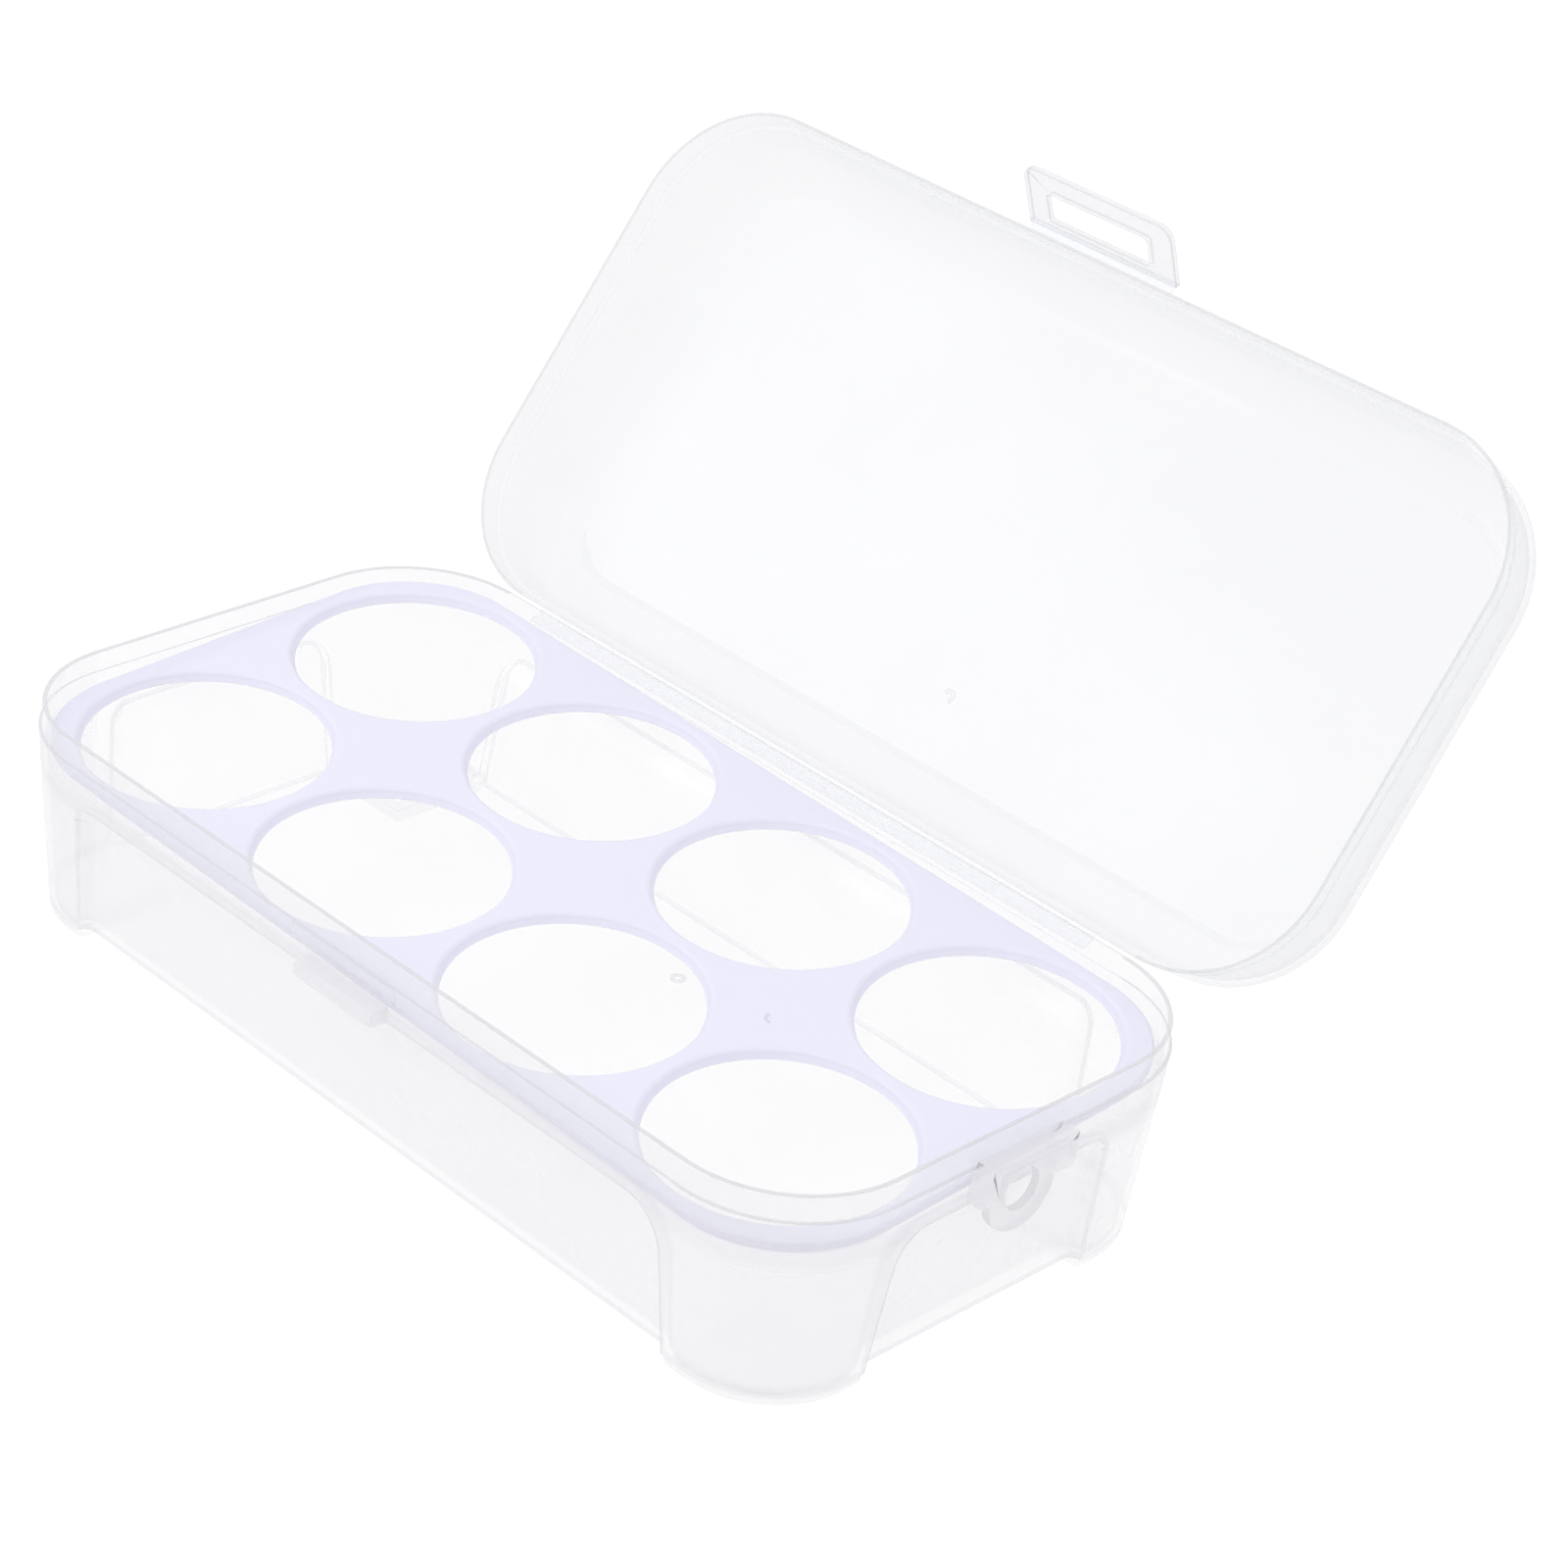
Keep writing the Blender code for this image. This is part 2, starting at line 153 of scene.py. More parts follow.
def rounded_stack(half_x, half_y, corner, levels, segments=24):
    """A solid of stacked rounded rectangles from bottom to top: (height, inset) or
    (height, inset, corner radius)."""
    centre = (half_x - corner, half_y - corner)
    rings = []
    for level in levels:
        radius = level[2] if len(level) > 2 else corner - level[1]
        rings.append((level[0], radius, (half_x - level[1] - radius, half_y - level[1] - radius)))
    bm = bmesh.new()
    bmesh.ops.create_grid(bm, x_segments=1, y_segments=1, size=1.0)
    for v in bm.verts:
        v.co = Vector((v.co.x * half_x, v.co.y * half_y, 0.0)) * MM
    bmesh.ops.bevel(
        bm, geom=bm.verts[:], offset=corner * MM, offset_type="OFFSET",
        segments=segments, profile=0.5, affect="VERTICES",
    )
    bm.faces.ensure_lookup_table()
    face = bm.faces[0]
    corners = bm.verts[:]
    for v in corners:
        c = Vector((math.copysign(centre[0], v.co.x), math.copysign(centre[1], v.co.y)))
        n = Vector((v.co.x / MM, v.co.y / MM)) - c
        if n.length < 1e-6:
            n = Vector((math.copysign(1, v.co.x), math.copysign(1, v.co.y)))
        n.normalize()
        p = c + n * corner
        v.co = Vector((p.x, p.y, 0.0)) * MM
    ring_to(corners, centre, rings[0][2], rings[0][1], rings[0][0])
    for i, (z, radius, middle) in enumerate(rings[1:]):
        made = bmesh.ops.extrude_face_region(bm, geom=[face])["geom"]
        up = [g for g in made if isinstance(g, bmesh.types.BMVert)]
        if i:
            bmesh.ops.delete(bm, geom=[face], context="FACES_ONLY")
        face = [g for g in made if isinstance(g, bmesh.types.BMFace)][0]
        ring_to(up, rings[i][2], middle, radius, z)
    return bm


def block(lo, hi):
    bm = bmesh.new()
    size = [b - a for a, b in zip(lo, hi)]
    mid = [(a + b) / 2 for a, b in zip(lo, hi)]
    matrix = Matrix.Translation(Vector(mid) * MM) @ Matrix.Diagonal((*[s * MM for s in size], 1.0))
    bmesh.ops.create_cube(bm, size=1.0, matrix=matrix)
    return bm


def round_edges(bm, pick, radius, segments=8):
    edges = [e for e in bm.edges if pick(*(v.co / MM for v in e.verts))]
    bmesh.ops.bevel(
        bm, geom=edges, offset=radius * MM, offset_type="OFFSET",
        segments=segments, profile=0.5, affect="EDGES",
    )
    return bm


def bar(radius_a, radius_b, lo, hi, axis, at, segments=96):
    bm = bmesh.new()
    turn = {"Z": Matrix.Identity(4), "X": Matrix.Rotation(math.pi / 2, 4, "Y")}[axis]
    middle = (lo + hi) / 2
    place = Vector((at[0], at[1], middle)) if axis == "Z" else Vector((middle, at[0], at[1]))
    bmesh.ops.create_cone(
        bm, cap_ends=True, segments=segments, radius1=radius_a * MM, radius2=radius_b * MM,
        depth=(hi - lo) * MM, matrix=Matrix.Translation(place * MM) @ turn,
    )
    return bm


def combine(obj, others, operation):
    for other in others:
        m = obj.modifiers.new(operation.lower(), "BOOLEAN")
        m.operation = operation
        m.solver = "EXACT"
        m.object = other
        other.hide_render = True
        other.hide_viewport = True


def soften(obj, width, segments=2, angle=26.0, slot=1):
    """Rounds every edge sharper than angle, and gives the new faces their own slot."""
    m = obj.modifiers.new("soften", "BEVEL")
    m.width = width * MM
    m.segments = segments
    m.limit_method = "ANGLE"
    m.angle_limit = math.radians(angle)
    m.use_clamp_overlap = True
    m.miter_outer = "MITER_ARC"
    m.material = slot


def soften_by(obj, width, rule, segments=2, slot=1):
    """Rounds edges by rule(middle in mm), a share of width."""
    mesh = obj.data
    bm = bmesh.new()
    bm.from_mesh(mesh)
    bm.edges.ensure_lookup_table()
    shares = []
    for e in bm.edges:
        share = 0.0
        if len(e.link_faces) == 2 and e.calc_face_angle(0.0) > math.radians(26.0):
            middle = (e.verts[0].co + e.verts[1].co) / 2 / MM
            share = rule(middle)
        shares.append(share)
    bm.free()
    weights = mesh.attributes.new("bevel_weight_edge", "FLOAT", "EDGE")
    weights.data.foreach_set("value", shares)
    m = obj.modifiers.new("soften", "BEVEL")
    m.width = width * MM
    m.segments = segments
    m.limit_method = "WEIGHT"
    m.use_clamp_overlap = False
    m.miter_outer = "MITER_SHARP"
    m.material = slot


def settled(obj, smooth=32.0, weight=True):
    """The object's own mesh with its modifiers applied, shaded smooth."""
    for o in tools.objects:
        o.hide_viewport = False
    graph = bpy.context.evaluated_depsgraph_get()
    graph.update()
    mesh = bpy.data.meshes.new_from_object(obj.evaluated_get(graph))
    for o in tools.objects:
        o.hide_viewport = True
    obj.modifiers.clear()
    obj.data = mesh
    mesh.name = obj.name
    mesh.shade_smooth()
    mesh.set_sharp_from_angle(angle=math.radians(smooth))
    if weight:
        w = obj.modifiers.new("normals", "WEIGHTED_NORMAL")
        w.keep_sharp = True
        graph = bpy.context.evaluated_depsgraph_get()
        graph.update()
        obj.data = bpy.data.meshes.new_from_object(obj.evaluated_get(graph))
        obj.data.name = obj.name
        obj.modifiers.clear()
    return obj


def regroup(obj, rule):
    """Gives each face a material slot by rule(centre in mm, normal, its slot now)."""
    for f in obj.data.polygons:
        f.material_index = rule(f.center / MM, f.normal, f.material_index)


# --- materials -------------------------------------------------------------------

def nodes_of(name):
    mat = bpy.data.materials.new(name)
    mat.use_nodes = True
    tree = mat.node_tree
    for n in list(tree.nodes):
        tree.nodes.remove(n)
    out = tree.nodes.new("ShaderNodeOutputMaterial")
    return mat, tree, out


def math_node(tree, operation, a, b=None, clamp=False):
    n = tree.nodes.new("ShaderNodeMath")
    n.operation = operation
    n.use_clamp = clamp
    for i, v in enumerate((a, b)):
        if v is None:
            continue
        if isinstance(v, (int, float)):
            n.inputs[i].default_value = v
        else:
            tree.links.new(v, n.inputs[i])
    return n.outputs[0]


def mix_colour(tree, fac, a, b):
    n = tree.nodes.new("ShaderNodeMix")
    n.data_type = "RGBA"
    n.inputs[0].default_value = 0.5
    if isinstance(fac, (int, float)):
        n.inputs[0].default_value = fac
    else:
        tree.links.new(fac, n.inputs[0])
    for i, v in ((6, a), (7, b)):
        if isinstance(v, tuple):
            n.inputs[i].default_value = (*v, 1.0)
        else:
            tree.links.new(v, n.inputs[i])
    return n.outputs[2]


def noise(tree, coords, scale, detail=2.0, rough=0.5):
    n = tree.nodes.new("ShaderNodeTexNoise")
    n.inputs["Scale"].default_value = scale
    n.inputs["Detail"].default_value = detail
    n.inputs["Roughness"].default_value = rough
    tree.links.new(coords, n.inputs["Vector"])
    return n.outputs["Fac"]


def span(tree, value, lo, hi, a, b):
    n = tree.nodes.new("ShaderNodeMapRange")
    tree.links.new(value, n.inputs["Value"])
    n.inputs["From Min"].default_value = lo
    n.inputs["From Max"].default_value = hi
    n.inputs["To Min"].default_value = a
    n.inputs["To Max"].default_value = b
    return n.outputs["Result"]


def zone(tree, coords, normal, centre, full, gone, strength):
    """A soft band of points whose distance along normal is near centre, in millimetres."""
    dot = tree.nodes.new("ShaderNodeVectorMath")
    dot.operation = "DOT_PRODUCT"
    tree.links.new(coords, dot.inputs[0])
    dot.inputs[1].default_value = Vector(normal) / MM
    away = math_node(tree, "ABSOLUTE", math_node(tree, "SUBTRACT", dot.outputs["Value"], centre))
    n = tree.nodes.new("ShaderNodeMapRange")
    n.interpolation_type = "SMOOTHSTEP"
    tree.links.new(away, n.inputs["Value"])
    n.inputs["From Min"].default_value = full
    n.inputs["From Max"].default_value = gone
    n.inputs["To Min"].default_value = strength
    n.inputs["To Max"].default_value = 0.0
    return n.outputs["Result"]


def plastic(name, colour, dark, clear, roughness, grazing=0.35, through=0.45, grain=0.05, mottle=0.02, zones=(), low=None):
    """Moulded polypropylene. clear is the share of light that goes straight through
    one of its faces, zones are soft bands painted darker and less clear, and low is
    (height, height, share, colour) for a wall that gets milkier from the second height
    in millimetres down to the first."""
    mat, tree, out = nodes_of(name)
    link = tree.links.new
    coords = tree.nodes.new("ShaderNodeTexCoord").outputs["Object"]
    cloud = noise(tree, coords, 30.0, 4.0, 0.55)
    flow = noise(tree, coords, 8.0, 1.0)
    tone = math_node(tree, "ADD", math_node(tree, "MULTIPLY", cloud, 0.6), math_node(tree, "MULTIPLY", flow, 0.4))
    amount = math_node(tree, "MULTIPLY", math_node(tree, "SUBTRACT", tone, 0.35), mottle * 10.0, clamp=True)
    for z in zones:
        amount = math_node(tree, "MAXIMUM", amount, zone(tree, coords, *z))
    upper = None
    if low:
        split = tree.nodes.new("ShaderNodeSeparateXYZ")
        link(coords, split.inputs[0])
        ramp = tree.nodes.new("ShaderNodeMapRange")
        ramp.interpolation_type = "SMOOTHSTEP"
        link(split.outputs["Z"], ramp.inputs["Value"])
        ramp.inputs["From Min"].default_value = low[0] * MM
        ramp.inputs["From Max"].default_value = low[1] * MM
        upper = ramp.outputs["Result"]
        body = mix_colour(tree, amount, mix_colour(tree, upper, low[3], colour), dark)
    else:
        body = mix_colour(tree, amount, colour, dark)
    bump = tree.nodes.new("ShaderNodeBump")
    bump.inputs["Strength"].default_value = grain
    bump.inputs["Distance"].default_value = 0.0002
    link(noise(tree, coords, 700.0, 2.0), bump.inputs["Height"])
    shader = tree.nodes.new("ShaderNodeBsdfPrincipled")
    link(body, shader.inputs["Base Color"])
    link(span(tree, cloud, 0.3, 0.7, roughness - 0.03, roughness + 0.03), shader.inputs["Roughness"])
    shader.inputs["IOR"].default_value = 1.49
    link(bump.outputs["Normal"], shader.inputs["Normal"])
    soft = tree.nodes.new("ShaderNodeBsdfTranslucent")
    link(body, soft.inputs["Color"])
    solid = tree.nodes.new("ShaderNodeMixShader")
    solid.inputs[0].default_value = through
    link(shader.outputs[0], solid.inputs[1])
    link(soft.outputs[0], solid.inputs[2])
    if clear <= 0.0:
        link(solid.outputs[0], out.inputs["Surface"])
        return mat
    window = tree.nodes.new("ShaderNodeBsdfTransparent")
    facing = tree.nodes.new("ShaderNodeLayerWeight")
    facing.inputs["Blend"].default_value = 0.5
    rim = math_node(tree, "POWER", facing.outputs["Facing"], 3.0)
    if low:
        clear = span(tree, upper, 0.0, 1.0, low[2], clear)
        share = math_node(tree, "MULTIPLY", clear, span(tree, rim, 0.0, 1.0, 1.0, 1.0 - grazing))
    else:
        share = math_node(tree, "SUBTRACT", clear, math_node(tree, "MULTIPLY", rim, clear * grazing))
    share = math_node(tree, "MULTIPLY", share, math_node(tree, "SUBTRACT", 1.0, math_node(tree, "MULTIPLY", amount, 0.45)), clamp=True)
    mixed = tree.nodes.new("ShaderNodeMixShader")
    link(share, mixed.inputs[0])
    link(solid.outputs[0], mixed.inputs[1])
    link(window.outputs[0], mixed.inputs[2])
    link(mixed.outputs[0], out.inputs["Surface"])
    return mat


foot_bands = (((0, 0, 1), 2.9, 0.5, 1.1, 0.55),)
# painted shade and painted light: a soft darker lavender-grey band a few millimetres under the rack, for the shade
# under it and its colour scattered through the wall
painted_rack_glow_and_shade = (((0, 0, 1), 31.6, 0.8, 4.2, 0.42),)
milky = (20.0, 34.0, 0.66, (0.91, 0.902, 0.912))
tub_pp = plastic("tub_plastic", (0.88, 0.875, 0.885), (0.71, 0.70, 0.76), 0.80, 0.26, zones=foot_bands, low=milky)
# painted light: a lighter, clearer copy of the tub plastic for the back and left walls
tub_lit_back = plastic("tub_plastic_back", (0.89, 0.887, 0.895), (0.74, 0.73, 0.78), 0.84, 0.26, zones=foot_bands, low=(20.0, 34.0, 0.77, (0.925, 0.92, 0.927)))
# the tub plastic with that painted band of the rack's shade and glow
tub_painted_band = plastic("tub_plastic_upper", (0.88, 0.875, 0.885), (0.71, 0.70, 0.76), 0.80, 0.26, zones=painted_rack_glow_and_shade, low=milky)
# painted shade: tub_line, tub_edge and tub_faint are darker, less clear copies for the rim and the rounded edges'
# faces, for the dark lines clear plastic shows at its edges
tub_line = plastic("tub_plastic_edges", (0.76, 0.76, 0.775), (0.68, 0.68, 0.71), 0.22, 0.24)
tub_edge = plastic("tub_plastic_recess_edges", (0.83, 0.83, 0.85), (0.74, 0.74, 0.77), 0.50, 0.24)
tub_faint = plastic("tub_plastic_corners", (0.80, 0.80, 0.81), (0.72, 0.72, 0.74), 0.66, 0.24, low=(20.0, 34.0, 0.55, (0.90, 0.90, 0.91)))
tub_floor = plastic("tub_plastic_floor", (0.89, 0.887, 0.895), (0.80, 0.80, 0.82), 0.82, 0.26)
lid_pp = plastic("lid_plastic", (0.69, 0.695, 0.73), (0.64, 0.64, 0.67), 0.85, 0.13, grazing=0.2, grain=0.02)
# painted light: a lighter, clearer copy of the lid plastic for the lid's right end wall
lid_lit_end = plastic("lid_plastic_end", (0.77, 0.775, 0.805), (0.70, 0.70, 0.73), 0.88, 0.13, grazing=0.15, grain=0.02)
# painted shade: darker, less clear copies of the lid plastic for its rim and rounded edges' faces
lid_line = plastic("lid_plastic_edges", (0.70, 0.705, 0.725), (0.64, 0.64, 0.67), 0.50, 0.2)
lid_faint = plastic("lid_plastic_corners", (0.80, 0.81, 0.83), (0.72, 0.72, 0.74), 0.72, 0.2)
# painted shade: a darker copy for the small step where the lid's shoulder meets its flat top
lid_crease_shade = plastic("lid_plastic_crease", (0.74, 0.75, 0.775), (0.69, 0.69, 0.71), 0.73, 0.2)
latch_pp = plastic("latch_plastic", (0.84, 0.84, 0.87), (0.70, 0.70, 0.73), 0.74, 0.28)
# painted shade: a darker, less clear copy for the flap's rounded edges' faces
latch_line = plastic("latch_plastic_edges", (0.76, 0.765, 0.785), (0.68, 0.68, 0.71), 0.30, 0.28)
boss_pp = plastic("catch_plastic", (0.87, 0.865, 0.89), (0.72, 0.72, 0.75), 0.56, 0.28)
# painted shade: a darker, less clear copy for the catch's rounded edges' faces
boss_line = plastic("catch_plastic_edges", (0.84, 0.835, 0.86), (0.74, 0.74, 0.77), 0.50, 0.28)
eye_pp = plastic("eyelet_plastic", (0.905, 0.90, 0.915), (0.82, 0.82, 0.84), 0.62, 0.28)
# painted shade: a darker, less clear copy for the ring's edges and the wall of its hole
eye_line = plastic("eyelet_plastic_edges", (0.76, 0.76, 0.78), (0.68, 0.68, 0.71), 0.40, 0.28)
# a darker copy for the eyelet's top 2.6 mm, and painted shade on its rounded edges' faces
eye_hood = plastic("eyelet_plastic_hood", (0.845, 0.84, 0.865), (0.76, 0.76, 0.79), 0.52, 0.28)
hinge_pp = plastic("hinge_plastic", (0.95, 0.957, 0.98), (0.88, 0.89, 0.92), 0.66, 0.5, grain=0.0)
mark_pp = plastic("moulding_marks", (0.86, 0.86, 0.875), (0.78, 0.78, 0.80), 0.72, 0.3)
rack_mark = plastic("lavender_plastic_mark", (0.74, 0.73, 0.86), (0.66, 0.65, 0.80), 0.0, 0.45, through=0.15)
rack_pp = plastic("lavender_plastic", (0.852, 0.848, 0.945), (0.80, 0.80, 0.90), 0.0, 0.42, through=0.15, grain=0.07)


def put(obj, matrix):
    """Places a piece by its own vertices, so that its box stays tight."""
    obj.data.transform(matrix)
    obj.data.update()


def finish_piece(obj, materials):
    obj.data.materials.clear()
    for m in materials:
        obj.data.materials.append(m)


# --- tub ----------------------------------------------------------------------------

def recess_cutter(name, long_side, sign, grow):
    half_top, half_low = RECESS_HALF_LONG if long_side else RECESS_HALF_END
    face = (WALL_Y if long_side else WALL_X) - WALL_DRAFT * (STEP_Z - LEDGE_Z)
    low = -60.0
    outer = face + 8.0
    inner_top = face - RECESS - grow
    inner_low = inner_top - PANEL_DRAFT * (LEDGE_Z - low)
    spread = (half_low - half_top) / (LEDGE_Z - FLOOR_Z)
    top = LEDGE_Z + grow * math.sqrt(1 + LEDGE_SLOPE ** 2)

    def half(z):
        return half_top + grow + spread * (LEDGE_Z - z)

    bm = bmesh.new()
    bmesh.ops.create_cube(bm, size=2.0)
    mid = sign * RECESS_MID if long_side else 0.0
    for v in bm.verts:
        along, depth, up = v.co.x, v.co.y, v.co.z
        d = outer if depth > 0 else (inner_top if up > 0 else inner_low)
        z = top - LEDGE_SLOPE * (face - d) if up > 0 else low
        v.co = Vector((mid + half(z) * along, d, z)) * MM
    for side, corner in zip((1, -1), RECESS_CORNERS[(long_side, sign)]):
        round_edges(
            bm,
            lambda p, q: abs(p.y - q.y) > 1 and min(p.z, q.z) > low + 1 and abs(p.x - q.x) < 5
            and side * (p.x - mid) > 10,
            corner + grow, 10,
        )
    round_edges(
        bm,
        lambda p, q: max(p.y, q.y) < outer - 5 and max(p.z, q.z) > low + 1,
        RECESS_FILLET + grow, 6,
    )
    if sign < 0 or not long_side:
        angle = {(True, -1): math.pi, (False, 1): -math.pi / 2, (False, -1): math.pi / 2}[(long_side, sign)]
        bmesh.ops.rotate(bm, verts=bm.verts[:], cent=(0, 0, 0), matrix=Matrix.Rotation(angle, 3, "Z"))
    return to_object(bm, name, tools)


def floor_cutter(name, long_way, grow):
    top = FLOOR_Z + grow * FLOOR_T / WALL_T
    if long_way:
        half = RECESS_HALF_END[1] + BAY_MORE + grow
        bm = block((-130, -half, -60), (130, half, top))
    else:
        half = RECESS_HALF_LONG[1] + BAY_MORE + grow
        bm = block((RECESS_MID - half, -80, -60), (RECESS_MID + half, 80, top))
    return to_object(bm, name, tools)


def wall_inset(z, thickness=0.0):
    return (LIP_X - WALL_X) + WALL_DRAFT * (STEP_Z - z) + thickness


def wall_ring(z, thickness=0.0, more=0.0):
    part = (STEP_Z - z) / (STEP_Z - FOOT_Z)
    return (z, wall_inset(z, thickness) + more, WALL_R + (FOOT_R - WALL_R) * part - thickness - more)


def past_corner(x, y, radius):
    """Whether a point in one of the four corners lies outside the corner's radius."""
    dx, dy = abs(x) - (LIP_X - LIP_R), abs(y) - (LIP_Y - LIP_R)
    return dx > 0 and dy > 0 and math.hypot(dx, dy) > radius


def make_tub():
    levels = []
    for i in range(7):
        t = i / 6 * math.pi / 2
        z = FOOT_Z + FOOT_ROUND * (1 - math.sin(t))
        levels.append(wall_ring(z, 0.0, FOOT_ROUND * (1 - math.cos(t))))
    levels.reverse()
    levels += [wall_ring(-30.0), wall_ring(-16.0), wall_ring(STEP_Z), (STEP_Z, 0.0), (0.0, 0.0)]
    tub = to_object(rounded_stack(LIP_X, LIP_Y, LIP_R, levels), "tub")
    r = FOOT_ROUND - 0.6
    bottom = FOOT_Z + FLOOR_T
    inner = [
        wall_ring(bottom, WALL_T, r),
        wall_ring(bottom + 0.13 * r, WALL_T, 0.5 * r),
        wall_ring(bottom + 0.5 * r, WALL_T, 0.13 * r),
        wall_ring(bottom + r, WALL_T),
        wall_ring(STEP_Z - 1.6, WALL_T),
        (STEP_Z, LIP_T),
        (2.0, LIP_T),
    ]
    cavity = to_object(rounded_stack(LIP_X, LIP_Y, LIP_R, inner), "tub_cavity", tools)
    for solid, grow in ((tub, 0.0), (cavity, WALL_T)):
        cutters = []
        for long_side in (True, False):
            for sign in (-1, 1):
                cutters.append(recess_cutter(f"recess_{solid.name}_{long_side}_{sign}", long_side, sign, grow))
            cutters.append(floor_cutter(f"bay_{solid.name}_{long_side}", long_side, grow))
        combine(solid, cutters, "DIFFERENCE")
        settled(solid, weight=False)
    floor_top = FLOOR_Z + FLOOR_T
    bm = bmesh.new()
    bm.from_mesh(cavity.data)
    round_edges(
        bm,
        lambda p, q: max(abs(p.z - floor_top), abs(q.z - floor_top)) < 0.02
        and (
            (min(abs(p.y), abs(q.y)) > 44 and max(abs(p.x), abs(q.x)) < 76.5)
            or (min(abs(p.x), abs(q.x)) > 95 and max(abs(p.y), abs(q.y)) < 25.5)
        ),
        2.0, 5,
    )
    bm.to_mesh(cavity.data)
    bm.free()
    combine(tub, [cavity], "DIFFERENCE")
    pad = to_object(block((PAD_X[0], -53.5, -8.0), (PAD_X[1], -52.3, STEP_Z - 0.05)), "catch_pad", tools)
    combine(tub, [pad], "UNION")
    settled(tub, weight=False)
    finish_piece(tub, [tub_pp, tub_line, tub_faint, tub_floor, tub_painted_band, tub_edge, tub_lit_back])

    def share_of(m):
        if m.z > -0.1:
            return 0.6
        if abs(m.z - STEP_Z) < 0.1:
            outer = abs(m.y) > LIP_Y + 0.3 or abs(m.x) > LIP_X + 0.3 or past_corner(m.x, m.y, LIP_R + 0.3)
            return 0.55 if outer and not (PAD_X[0] - 1 < m.x < PAD_X[1] + 1 and m.y < 0) else 0.0
        wall = wall_inset(m.z)
        on_wall = abs(m.y) > LIP_Y - wall - 0.15 or abs(m.x) > LIP_X - wall - 0.15
        if m.z < FLOOR_Z + 0.3:
            # only the long lower edges of the panels, clear of the feet's small corners
            return 0.45 if m.z > FOOT_Z + FOOT_ROUND + 0.1 and (abs(m.x) < 60.0 or abs(m.y) < 15.0) else 0.0
        if on_wall and m.z < LEDGE_Z + 1.0:
            return 1.4
        return 0.25

    soften_by(tub, 0.42, share_of)
    settled(tub)

    def slot_of(c, n, slot):
        behind = c.y > 48.0 and HINGE_X[0] - 2.0 < c.x < HINGE_X[1] + 2.0
        edge = wall_inset(c.z)
        skin = abs(c.y) > LIP_Y - edge - 0.3 or abs(c.x) > LIP_X - edge - 0.3 or past_corner(c.x, c.y, LIP_R - edge - 0.5)
        if slot != 1 and c.z < FLOOR_Z + 1.6 and not skin:
            return 3
        # the upper front and right walls take the plastic with the painted shade and glow of the rack
        if slot != 1 and skin and -16.5 < c.z < STEP_Z - 0.3 and (c.y < -30.0 or c.x > 80.0):
            return 4
        if slot != 1:
            if n.z > 0.9 and (c.z > -0.2 or abs(c.z - STEP_Z) < 0.1):
                return 0 if behind else 1
            # the back and left walls take the lighter copy, painted light
            return 6 if c.y > 27.0 or (c.x < -90.0 and c.y > -27.0) else 0
        # the rounded edges' faces: the darker edge plastics are painted shade
        if c.z > -1.2 or abs(c.z - STEP_Z) < 0.8:
            return 0 if behind else 1
        if c.z < FOOT_Z + FOOT_ROUND + 1.4:
            return 0
        if c.z < FLOOR_Z + 2.6 and c.z > FOOT_Z + 1.0 and abs(c.y) < 46.0 and abs(c.x) < 96.0:
            return 0
        wall = wall_inset(c.z)
        outside = abs(c.y) > LIP_Y - wall - 0.7 or abs(c.x) > LIP_X - wall - 0.7
        if not outside and (c.y < 20.0 or c.z < FLOOR_Z + 12.0):
            return 0
        if not outside or not (c.y < 0 or c.x > 0):
            return 2
        # the edges of the front foot turn away from the eye and take the darkest edge plastic, painted shade
        return 1 if c.x > 60.0 and c.y < -20.0 else 5

    regroup(tub, slot_of)

    put(tub, base_place)
    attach(tub, "base")
    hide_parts("base_tub")
    return tub


def make_catch():
    wall = -(WALL_Y - WALL_DRAFT * 4.3) - 0.02
    bm = block((BOSS_X[0], BOSS_NOSE_Y, BOSS_Z[2]), (BOSS_X[1], wall, BOSS_Z[1]))
    for v in bm.verts:
        p = v.co / MM
        if p.z > BOSS_Z[1] - 0.01 and p.y > wall - 0.01:
            v.co.z = BOSS_Z[0] * MM
    catch = to_object(bm, "catch")
    finish_piece(catch, [boss_pp, boss_line])
    soften(catch, 0.45, 3)
    settled(catch)
    put(catch, base_place)
    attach(catch, "base")
    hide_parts("catch_boss")


